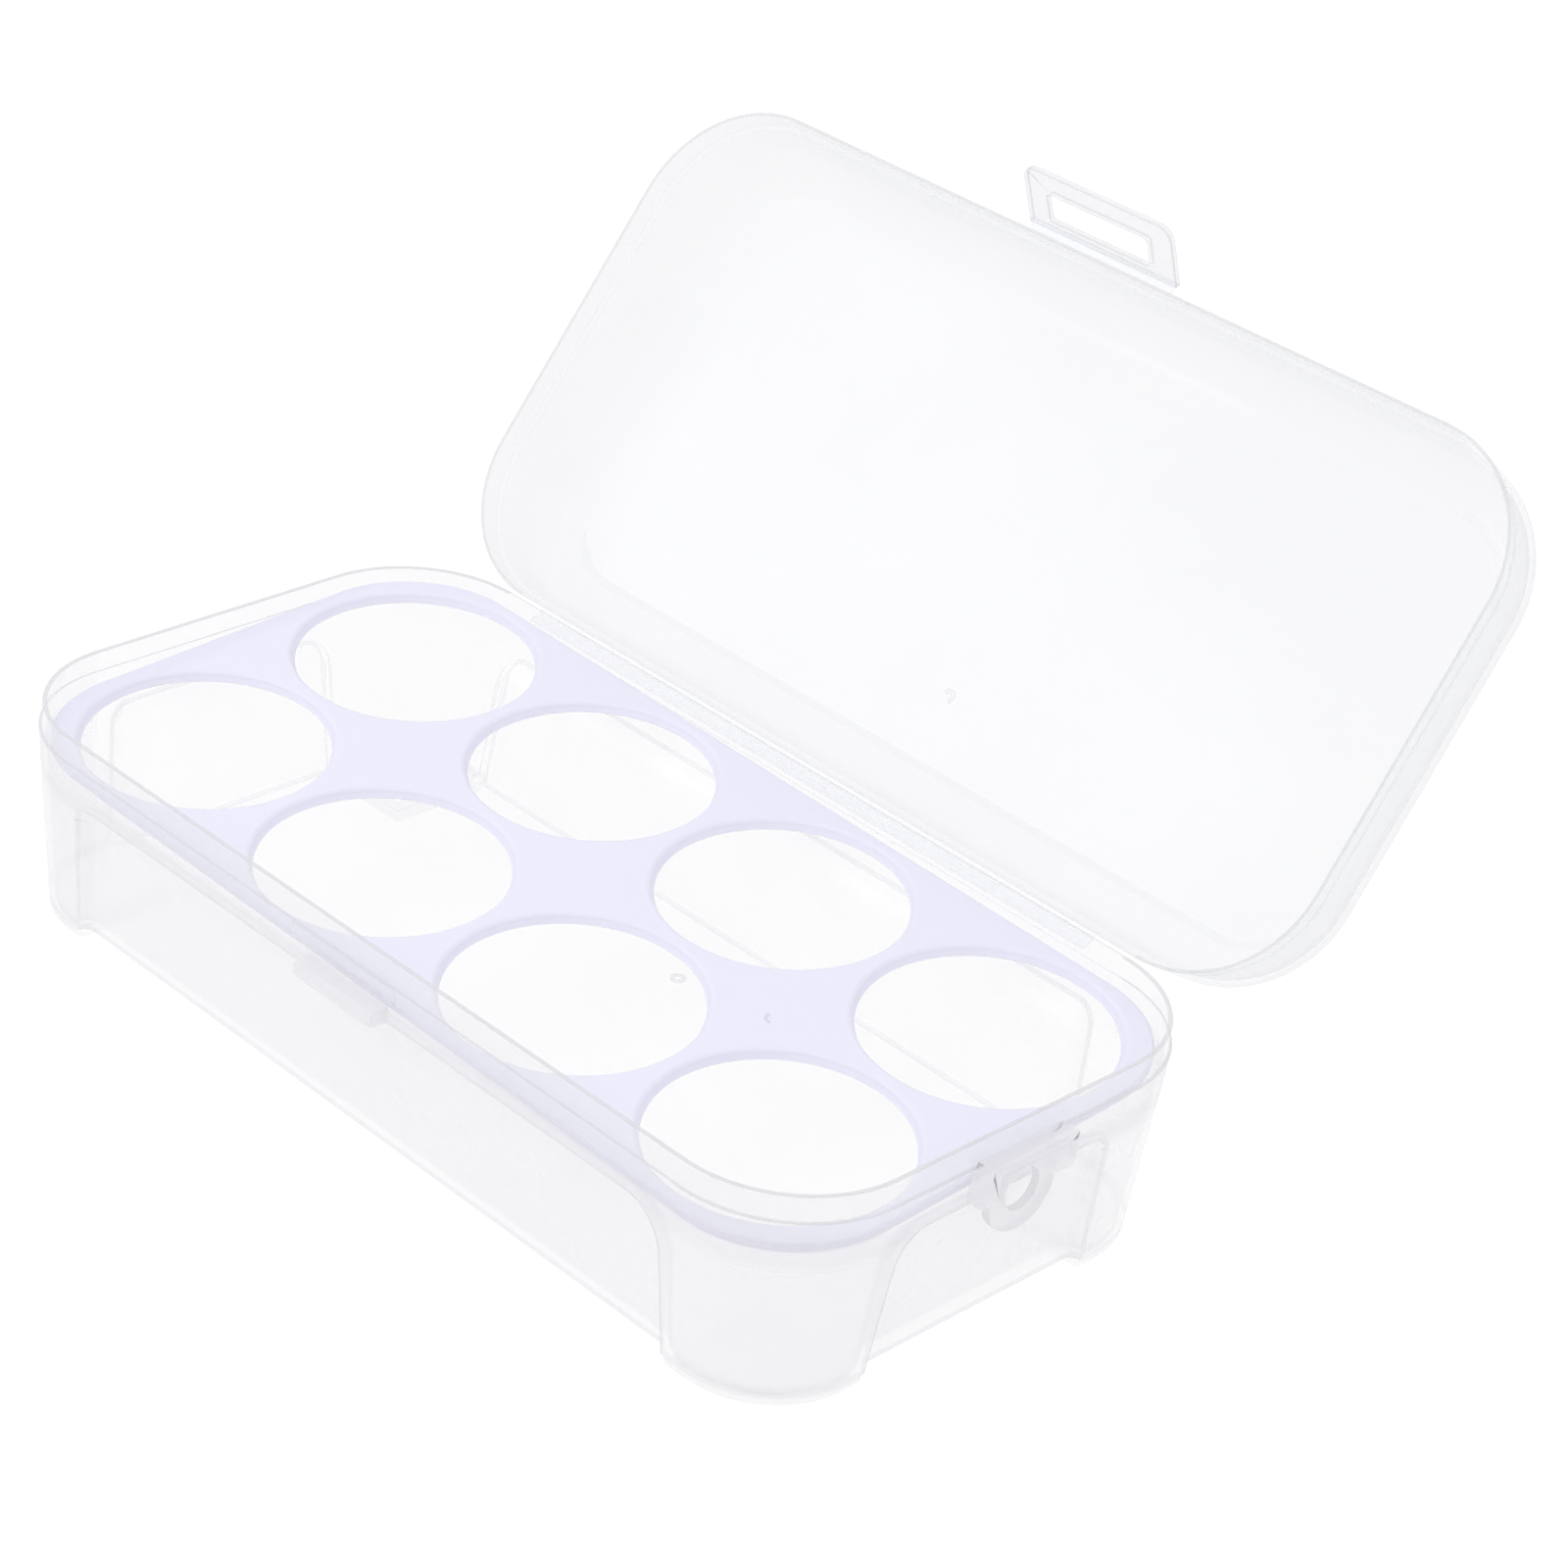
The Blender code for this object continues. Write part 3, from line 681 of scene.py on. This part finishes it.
def make_eyelet():
    x0, x1 = EYE_X
    y0, y1 = EYE_Y
    face = x1 - EYE_BACK
    plate = to_object(block((face - EYE_T, y0 + 1.0, RING_C[1] + 2.5), (face, y1 - 1.0, EYE_TOP)), "eyelet")
    hood = to_object(block((x0, y0, EYE_TOP - 1.4), (x1, y1, EYE_TOP)), "eyelet_hood", tools)
    fins = []
    for lo, hi in ((y0, y0 + 2.0), (y1 - 2.0, y1)):
        bm = block((x0, lo, EAR_BOTTOM), (x1, hi, EYE_TOP))
        round_edges(bm, lambda p, q: abs(p.y - q.y) > 1 and max(p.z, q.z) < EAR_BOTTOM + 0.01 and min(p.x, q.x) > x1 - 0.01, 2.6, 8)
        fins.append(to_object(bm, "eyelet_fin", tools))
        # the ears join the wall below the shut lid's rim
        fins.append(to_object(block((x0 - 1.0, lo, EAR_BOTTOM), (x0 + 0.3, hi, STEP_Z - 0.15)), "eyelet_root", tools))
    ring = to_object(bar(RING_R, RING_R, face - EYE_T, face, "X", RING_C, 96), "eyelet_ring", tools)
    hole = to_object(bar(RING_HOLE_R, RING_HOLE_R, x1 - 6, x1 + 3, "X", RING_C, 72), "eyelet_hole", tools)
    combine(plate, [hood] + fins + [ring], "UNION")
    combine(plate, [hole], "DIFFERENCE")
    settled(plate, weight=False)
    finish_piece(plate, [eye_pp, eye_line, eye_hood])
    soften(plate, 0.26, 2)
    settled(plate)

    def slot_of(c, n, slot):
        # the ring's own edges and the wall of its hole are painted darker than its face, painted shade at the edges
        # and in the hole
        away = math.hypot(c.y - RING_C[0], c.z - RING_C[1])
        ring = abs(away - RING_HOLE_R) < 0.5 or (abs(away - RING_R) < 0.5 and c.z < EAR_BOTTOM)
        if ring and abs(n.x) < 0.9:
            return 1
        return 2 if slot == 1 or c.z > EYE_TOP - 2.6 else 0

    regroup(plate, slot_of)

    put(plate, base_place)
    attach(plate, "base")
    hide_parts("hanging_eyelet")


# --- lid ----------------------------------------------------------------------------

def lid_levels(extra, depth, shoulder, lip):
    levels = [(0.0 if not extra else -2.0, lip)]
    if extra:
        levels += [(LID_LIP_D, lip), (LID_LIP_D + 0.5, extra + LID_DRAFT * (LID_LIP_D + 0.5))]
    # the shoulder ends in a fine step up to the flat top
    start, step = depth - shoulder, 0.14
    for i in range(13):
        t = i / 12 * math.pi / 2 * 0.97
        levels.append((
            start + (shoulder - step) * math.sin(t),
            extra + LID_DRAFT * start + shoulder * (1 - math.cos(t)),
        ))
    levels.append((depth, levels[-1][1] + 0.3))
    return levels


lid_axis = Vector((0.0, HINGE_Y, HINGE_Z))
lid_turn = Matrix.Rotation(math.radians(-LID_OPEN_DEG), 4, "X")
lid_place = Matrix.Translation((ORIGIN + lid_axis) * MM) @ lid_turn
latch_place = (
    lid_place
    @ Matrix.Translation(Vector((0.0, LATCH_Y - HINGE_Y, LATCH_Z - HINGE_Z)) * MM)
    @ Matrix.Rotation(math.radians(LATCH_DEG), 4, "X")
)


def make_lid():
    outer = lid_levels(0.0, LID_DEPTH, LID_SHOULDER, 0.0)
    inner = lid_levels(LID_T, LID_DEPTH - LID_T, LID_SHOULDER - LID_T, LID_LIP_T)
    to_axis = Vector((0.0, -HINGE_Y, LID_CLOSED_Z - HINGE_Z)) * MM

    def placed(bm):
        bmesh.ops.translate(bm, verts=bm.verts[:], vec=to_axis)
        return bm

    lid = to_object(placed(rounded_stack(LID_X, LID_Y, LID_R, outer, 28)), "lid")
    hollow = to_object(placed(rounded_stack(LID_X, LID_Y, LID_R, inner, 28)), "lid_hollow", tools)
    combine(lid, [hollow], "DIFFERENCE")
    settled(lid, weight=False)
    finish_piece(lid, [lid_pp, lid_line, lid_faint, lid_crease_shade, lid_lit_end])
    soften(lid, 0.22, 2)
    settled(lid)
    rim = LID_CLOSED_Z - HINGE_Z

    def slot_of(c, n, slot):
        y = c.y + HINGE_Y
        if c.z - rim > 15.0:
            dx, dy = abs(c.x) - (LID_X - LID_R), abs(y) - (LID_Y - LID_R)
            inset = LID_R - math.hypot(dx, dy) if dx > 0 and dy > 0 else min(LID_X - abs(c.x), LID_Y - abs(y))
            if not (20.9 < c.z - rim < LID_DEPTH - LID_T - 0.01 and 9.5 < inset < 11.5):
                return 0
            # the step's faces near the hinge, near the latch and at the right corner by the hinge take the painted
            # shade line
            near_hinge = y > 30.0 and c.x > -92.0
            near_latch = y < -30.0 and c.x > 12.0
            corner = c.x > 80.0 and y > 20.0
            return 3 if near_hinge or near_latch or corner else 0
        behind = y > 48.0 and HINGE_X[0] - 2.0 < c.x < HINGE_X[1] + 2.0
        if behind:
            return 0
        # the rim's flat face and the rounded edges' faces take the darker edge plastics, painted shade
        if slot != 1:
            if n.z < -0.9 and c.z - rim < 0.2:
                return 1
            # the right end wall near the rim takes the lighter copy, painted light
            return 4 if c.x > 82.0 and c.z - rim < 12.2 else 0
        return 1 if c.z - rim < 1.0 else 2

    regroup(lid, slot_of)
    put(lid, lid_place)
    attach(lid, "lid")
    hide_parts("lid_shell")


def make_flap():
    bm = block((LATCH_X[0], -LATCH_LEN, 0.0), (LATCH_X[1], -0.15, LATCH_T))
    round_edges(bm, lambda p, q: abs(p.z - q.z) > 0.5 and max(p.y, q.y) < -10, LATCH_CORNER, 12)
    flap = to_object(bm, "flap")
    bm = block((WINDOW_X[0], -WINDOW_L[1], -3.0), (WINDOW_X[1], -WINDOW_L[0], 4.0))
    round_edges(bm, lambda p, q: abs(p.z - q.z) > 0.5, 0.7, 6)
    window = to_object(bm, "flap_window", tools)
    combine(flap, [window], "DIFFERENCE")
    settled(flap, weight=False)
    finish_piece(flap, [latch_pp, latch_line])
    soften(flap, 0.3, 3)
    settled(flap)
    put(flap, latch_place)
    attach(flap, "latch")
    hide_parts("latch_flap")


def strip(name, profile, x0, x1, step=2.0):
    """A bar along X with a closed cross-section given in y and z."""
    bm = bmesh.new()
    count = max(2, int(round((x1 - x0) / step)) + 1)
    rings = []
    for i in range(count):
        x = x0 + (x1 - x0) * i / (count - 1)
        rings.append([bm.verts.new(Vector((x, y, z)) * MM) for y, z in profile])
    n = len(profile)
    for a, b in zip(rings, rings[1:]):
        for k in range(n):
            bm.faces.new((a[k], a[(k + 1) % n], b[(k + 1) % n], b[k]))
    bm.faces.new(rings[0])
    bm.faces.new(list(reversed(rings[-1])))
    return to_object(bm, name)


def ribbon(line, widths):
    """Closed cross-section round a centreline, half as thick as widths each side."""
    up, down = [], []
    for i, (p, w) in enumerate(zip(line, widths)):
        a = line[max(0, i - 1)]
        b = line[min(len(line) - 1, i + 1)]
        d = Vector((b[0] - a[0], b[1] - a[1]))
        d.normalize()
        up.append((p[0] - d.y * w / 2, p[1] + d.x * w / 2))
        down.append((p[0] + d.y * w / 2, p[1] - d.x * w / 2))
    return up + list(reversed(down))


def make_hinge():
    """One bent strip from the tub's back wall to the lid's rim."""
    c, s = math.cos(math.radians(-LID_OPEN_DEG)), math.sin(math.radians(-LID_OPEN_DEG))

    def from_lid(y, z):
        return (HINGE_Y + y * c - z * s, HINGE_Z + y * s + z * c)

    line, widths = [], []
    for y in (53.4, 53.8, 54.2, 54.5):
        line.append((y, HINGE_Z - 0.49))
        widths.append(0.8)
    # from the base leaf, through the web on the axis, to the lid leaf
    for t, w in ((0.0, 0.7), (0.2, 0.5), (0.4, 0.36), (0.6, 0.36), (0.8, 0.5), (1.0, 0.7)):
        a = (54.62, HINGE_Z - 0.45)
        b = from_lid(-0.48, 0.44)
        m = (HINGE_Y + 0.12, HINGE_Z - 0.12)
        p = [(1 - t) ** 2 * u + 2 * t * (1 - t) * v + t * t * q for u, v, q in zip(a, m, b)]
        line.append(tuple(p))
        widths.append(w)
    for y in (-0.62, -0.9, -1.2, -1.5):
        line.append(from_lid(y, 0.48))
        widths.append(0.8)
    hinge = strip("hinge_strip", ribbon(line, widths), HINGE_X[0], HINGE_X[1])
    finish_piece(hinge, [hinge_pp])
    settled(hinge, smooth=50.0, weight=False)

    put(hinge, base_place)
    a = (ORIGIN + Vector((0, 54.6, HINGE_Z - 0.5))) * MM
    e = from_lid(-0.5, 0.5)
    b = (ORIGIN + Vector((0, e[0], e[1]))) * MM
    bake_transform(hinge)
    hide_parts("hinge_leaf_base", "hinge_web", "hinge_leaf_lid")


def make_latch_web():
    """The thin fold between the lid's rim and the flap."""
    c, s = math.cos(math.radians(LATCH_DEG)), math.sin(math.radians(LATCH_DEG))
    y0, z0 = LATCH_Y - HINGE_Y, LATCH_Z - HINGE_Z

    def from_flap(y, z):
        return (y0 + y * c - z * s, z0 + y * s + z * c)

    line = [(y0 + 1.0, z0 + 0.3), (y0 + 0.7, z0 + 0.28), (y0 + 0.45, z0 + 0.26)]
    a, m, b = line[-1], (y0 + 0.05, z0 + 0.14), from_flap(-0.35, 0.35)
    for t in (0.25, 0.5, 0.75):
        line.append(tuple((1 - t) ** 2 * u + 2 * t * (1 - t) * v + t * t * q for u, v, q in zip(a, m, b)))
    line += [b, from_flap(-0.7, 0.4)]
    widths = [0.5, 0.45, 0.4, 0.34, 0.32, 0.34, 0.45, 0.6]
    web = strip("latch_fold", ribbon(line, widths), LATCH_X[0] + 0.6, LATCH_X[1] - 0.6, 1.5)
    finish_piece(web, [hinge_pp])
    settled(web, smooth=50.0, weight=False)
    put(web, lid_place)
    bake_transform(web)
    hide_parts("latch_web")


# --- rack ----------------------------------------------------------------------------

def lathe(profile, at, segments=128):
    """A closed solid turned round a vertical axis from (radius, height) points."""
    bm = bmesh.new()
    rings = []
    for radius, z in profile:
        rings.append([
            bm.verts.new(Vector((
                at[0] + radius * math.cos(2 * math.pi * k / segments),
                at[1] + radius * math.sin(2 * math.pi * k / segments), z,
            )) * MM)
            for k in range(segments)
        ])
    for a, b in zip(rings, rings[1:]):
        for k in range(segments):
            bm.faces.new((a[k], a[(k + 1) % segments], b[(k + 1) % segments], b[k]))
    bm.faces.new(rings[0])
    bm.faces.new(list(reversed(rings[-1])))
    return bm


def make_rack():
    e = 0.5
    levels = [(-RACK_T, e), (-RACK_T + 0.15, 0.15), (-RACK_T + e, 0.0), (-0.7, 0.0), (-0.35, 0.1), (-0.1, 0.35), (0.0, 0.7)]
    rack = to_object(rounded_stack(RACK_X, RACK_Y, RACK_R, levels, 24), "rack")
    holes = []
    for i in range(4):
        for j in (-1, 1):
            x = (i - 1.5) * PITCH_X
            y = j * PITCH_Y / 2
            profile = [(HOLE_R_LOW + 0.6, -RACK_T - 0.5), (HOLE_R_LOW + 0.3, -RACK_T), (HOLE_R_LOW, -RACK_T + 0.35)]
            for k in range(7):
                t = k / 6 * math.pi / 2 * 0.96
                profile.append((HOLE_R - 0.1 + 0.9 * (1 - math.cos(t)), -0.9 + 0.9 * math.sin(t)))
            profile.append((HOLE_R + 1.6, 0.5))
            holes.append(to_object(lathe(profile, (x, y)), f"egg_hole_{i}_{j}", tools))
    combine(rack, holes, "DIFFERENCE")
    settled(rack, weight=False)
    finish_piece(rack, [rack_pp])
    settled(rack)

    put(
        rack,
        Matrix.Translation((ORIGIN + Vector(RACK_AT)) * MM)
        @ Matrix.Rotation(math.radians(RACK_TILT[2]), 4, "Z")
        @ Matrix.Rotation(math.radians(RACK_TILT[1]), 4, "Y")
        @ Matrix.Rotation(math.radians(RACK_TILT[0]), 4, "X"),
    )
    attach(rack, "rack")
    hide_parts("egg_rack")


def mark(name, place, centre, inner, outer, height, start, sweep, materials, body):
    """A small moulding mark: a low ring, or part of one, standing on a flat face."""
    count = max(8, int(sweep / 10))
    closed = sweep >= 360
    bm = bmesh.new()
    rings = []
    for k in range(count if closed else count + 1):
        t = math.radians(start + sweep * k / count)
        c, s = math.cos(t), math.sin(t)
        rings.append([
            bm.verts.new(Vector((centre[0] + r * c, centre[1] + r * s, centre[2] + z)) * MM)
            for r, z in ((inner, -0.15), (outer, -0.15), (outer, height * 0.5), ((inner + outer) / 2, height), (inner, height * 0.5))
        ])
    pairs = list(zip(rings, rings[1:] + rings[:1])) if closed else list(zip(rings, rings[1:]))
    for a, b in pairs:
        for k in range(5):
            bm.faces.new((a[k], a[(k + 1) % 5], b[(k + 1) % 5], b[k]))
    if not closed:
        bm.faces.new(rings[0])
        bm.faces.new(list(reversed(rings[-1])))
    piece = to_object(bm, name)
    finish_piece(piece, materials)
    settled(piece, smooth=40.0, weight=False)
    put(piece, place)
    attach(piece, body)


make_tub()
make_catch()
make_eyelet()
make_lid()
make_flap()
make_hinge()
make_latch_web()
make_rack()
rack_place = (
    Matrix.Translation((ORIGIN + Vector(RACK_AT)) * MM)
    @ Matrix.Rotation(math.radians(RACK_TILT[2]), 4, "Z")
    @ Matrix.Rotation(math.radians(RACK_TILT[1]), 4, "Y")
    @ Matrix.Rotation(math.radians(RACK_TILT[0]), 4, "X")
)
mark("tub_gate", base_place, (-2.5, 29.4, FLOOR_Z + FLOOR_T), 0.7, 1.5, 0.3, 0, 360, [mark_pp], "base")
# the lid's inner face looks down in its shut frame, so its mark is turned over
mark(
    "lid_gate", lid_place @ Matrix.Translation(Vector((GATE_LID[0], GATE_LID[1], LID_CLOSED_Z - HINGE_Z + LID_DEPTH - LID_T)) * MM)
    @ Matrix.Rotation(math.pi, 4, "X"), (0.0, 0.0, 0.0), 0.6, 1.4, 0.25, -60, 230, [mark_pp], "lid",
)
mark("rack_gate", rack_place, (51.4, -3.2, 0.0), 1.1, 1.6, 0.12, 170, 120, [rack_mark], "rack")

for tool in list(tools.objects):
    bpy.data.objects.remove(tool, do_unlink=True)
bpy.data.collections.remove(tools)

# --- stage ----------------------------------------------------------------------------

bm = bmesh.new()
bmesh.ops.create_circle(bm, cap_ends=True, segments=96, radius=4.0)
floor = to_object(bm, "floor", scene.collection)
mat, tree, out = nodes_of("pale_floor")
diffuse = tree.nodes.new("ShaderNodeBsdfDiffuse")
diffuse.inputs["Color"].default_value = (0.03, 0.03, 0.03, 1.0)
glow = tree.nodes.new("ShaderNodeEmission")
glow.inputs["Color"].default_value = (1.0, 1.0, 1.0, 1.0)
glow.inputs["Strength"].default_value = 1.01
add = tree.nodes.new("ShaderNodeAddShader")
tree.links.new(diffuse.outputs[0], add.inputs[0])
tree.links.new(glow.outputs[0], add.inputs[1])
tree.links.new(add.outputs[0], out.inputs["Surface"])
floor.data.materials.append(mat)
floor.location.z = -0.0002

world = bpy.data.worlds.new("studio")
scene.world = world
world.use_nodes = True
tree = world.node_tree
sky = tree.nodes["Background"]
aim = tree.nodes.new("ShaderNodeTexCoord").outputs["Generated"]
height = tree.nodes.new("ShaderNodeSeparateXYZ")
tree.links.new(aim, height.inputs[0])
up = tree.nodes.new("ShaderNodeMapRange")
up.interpolation_type = "SMOOTHSTEP"
tree.links.new(height.outputs["Z"], up.inputs["Value"])
up.inputs["From Min"].default_value = -0.05
up.inputs["From Max"].default_value = 0.75
shade = tree.nodes.new("ShaderNodeMix")
shade.data_type = "RGBA"
tree.links.new(up.outputs["Result"], shade.inputs[0])
shade.inputs[6].default_value = (0.78, 0.785, 0.80, 1.0)
shade.inputs[7].default_value = (1.03, 1.035, 1.05, 1.0)
tree.links.new(shade.outputs[2], sky.inputs["Color"])
sky.inputs["Strength"].default_value = 1.0


def area(name, at, target, size, power):
    light = bpy.data.lights.new(name, "AREA")
    light.shape = "RECTANGLE"
    light.size, light.size_y = size
    light.energy = power
    obj = bpy.data.objects.new(name, light)
    scene.collection.objects.link(obj)
    obj.location = at
    obj.rotation_euler = (Vector(target) - Vector(at)).to_track_quat("-Z", "Y").to_euler()
    return obj


area("key", (-0.679, -0.691, 0.609), (0, 0, 0.06), (0.34, 0.26), 1.2)
area("fill", (0.133, -0.603, 0.903), (0, 0, 0.06), (0.30, 0.30), 0.8)

# --- camera ---------------------------------------------------------------------------

CAMERA_AT = Vector((453.142674, -455.677035, 375.825506))
CAMERA_AXES = (
    (0.6970932974, 0.7085317265, 0.1097439168),
    (0.4169944569, -0.2761367245, -0.8659469570),
    (-0.5832465667, 0.6494084246, -0.4879468623),
)
cam_data = bpy.data.cameras.new("camera")
cam_data.sensor_fit = "HORIZONTAL"
cam_data.sensor_width = 36.0
cam_data.lens = 4336.632 / 1600 * 36.0
cam_data.clip_start = 0.01
cam_data.clip_end = 50.0
camera = bpy.data.objects.new("camera", cam_data)
scene.collection.objects.link(camera)
right, down, forward = (Vector(a) for a in CAMERA_AXES)
turn = Matrix((right, -down, -forward)).transposed().to_4x4()
camera.matrix_world = Matrix.Translation((CAMERA_AT + ORIGIN) * MM) @ turn
scene.camera = camera

scene.view_settings.view_transform = "Standard"
scene.view_settings.look = "None"
scene.cycles.transparent_max_bounces = 32
scene.cycles.max_bounces = 16
scene.cycles.diffuse_bounces = 8
scene.cycles.transmission_bounces = 12

bpy.context.view_layer.update()
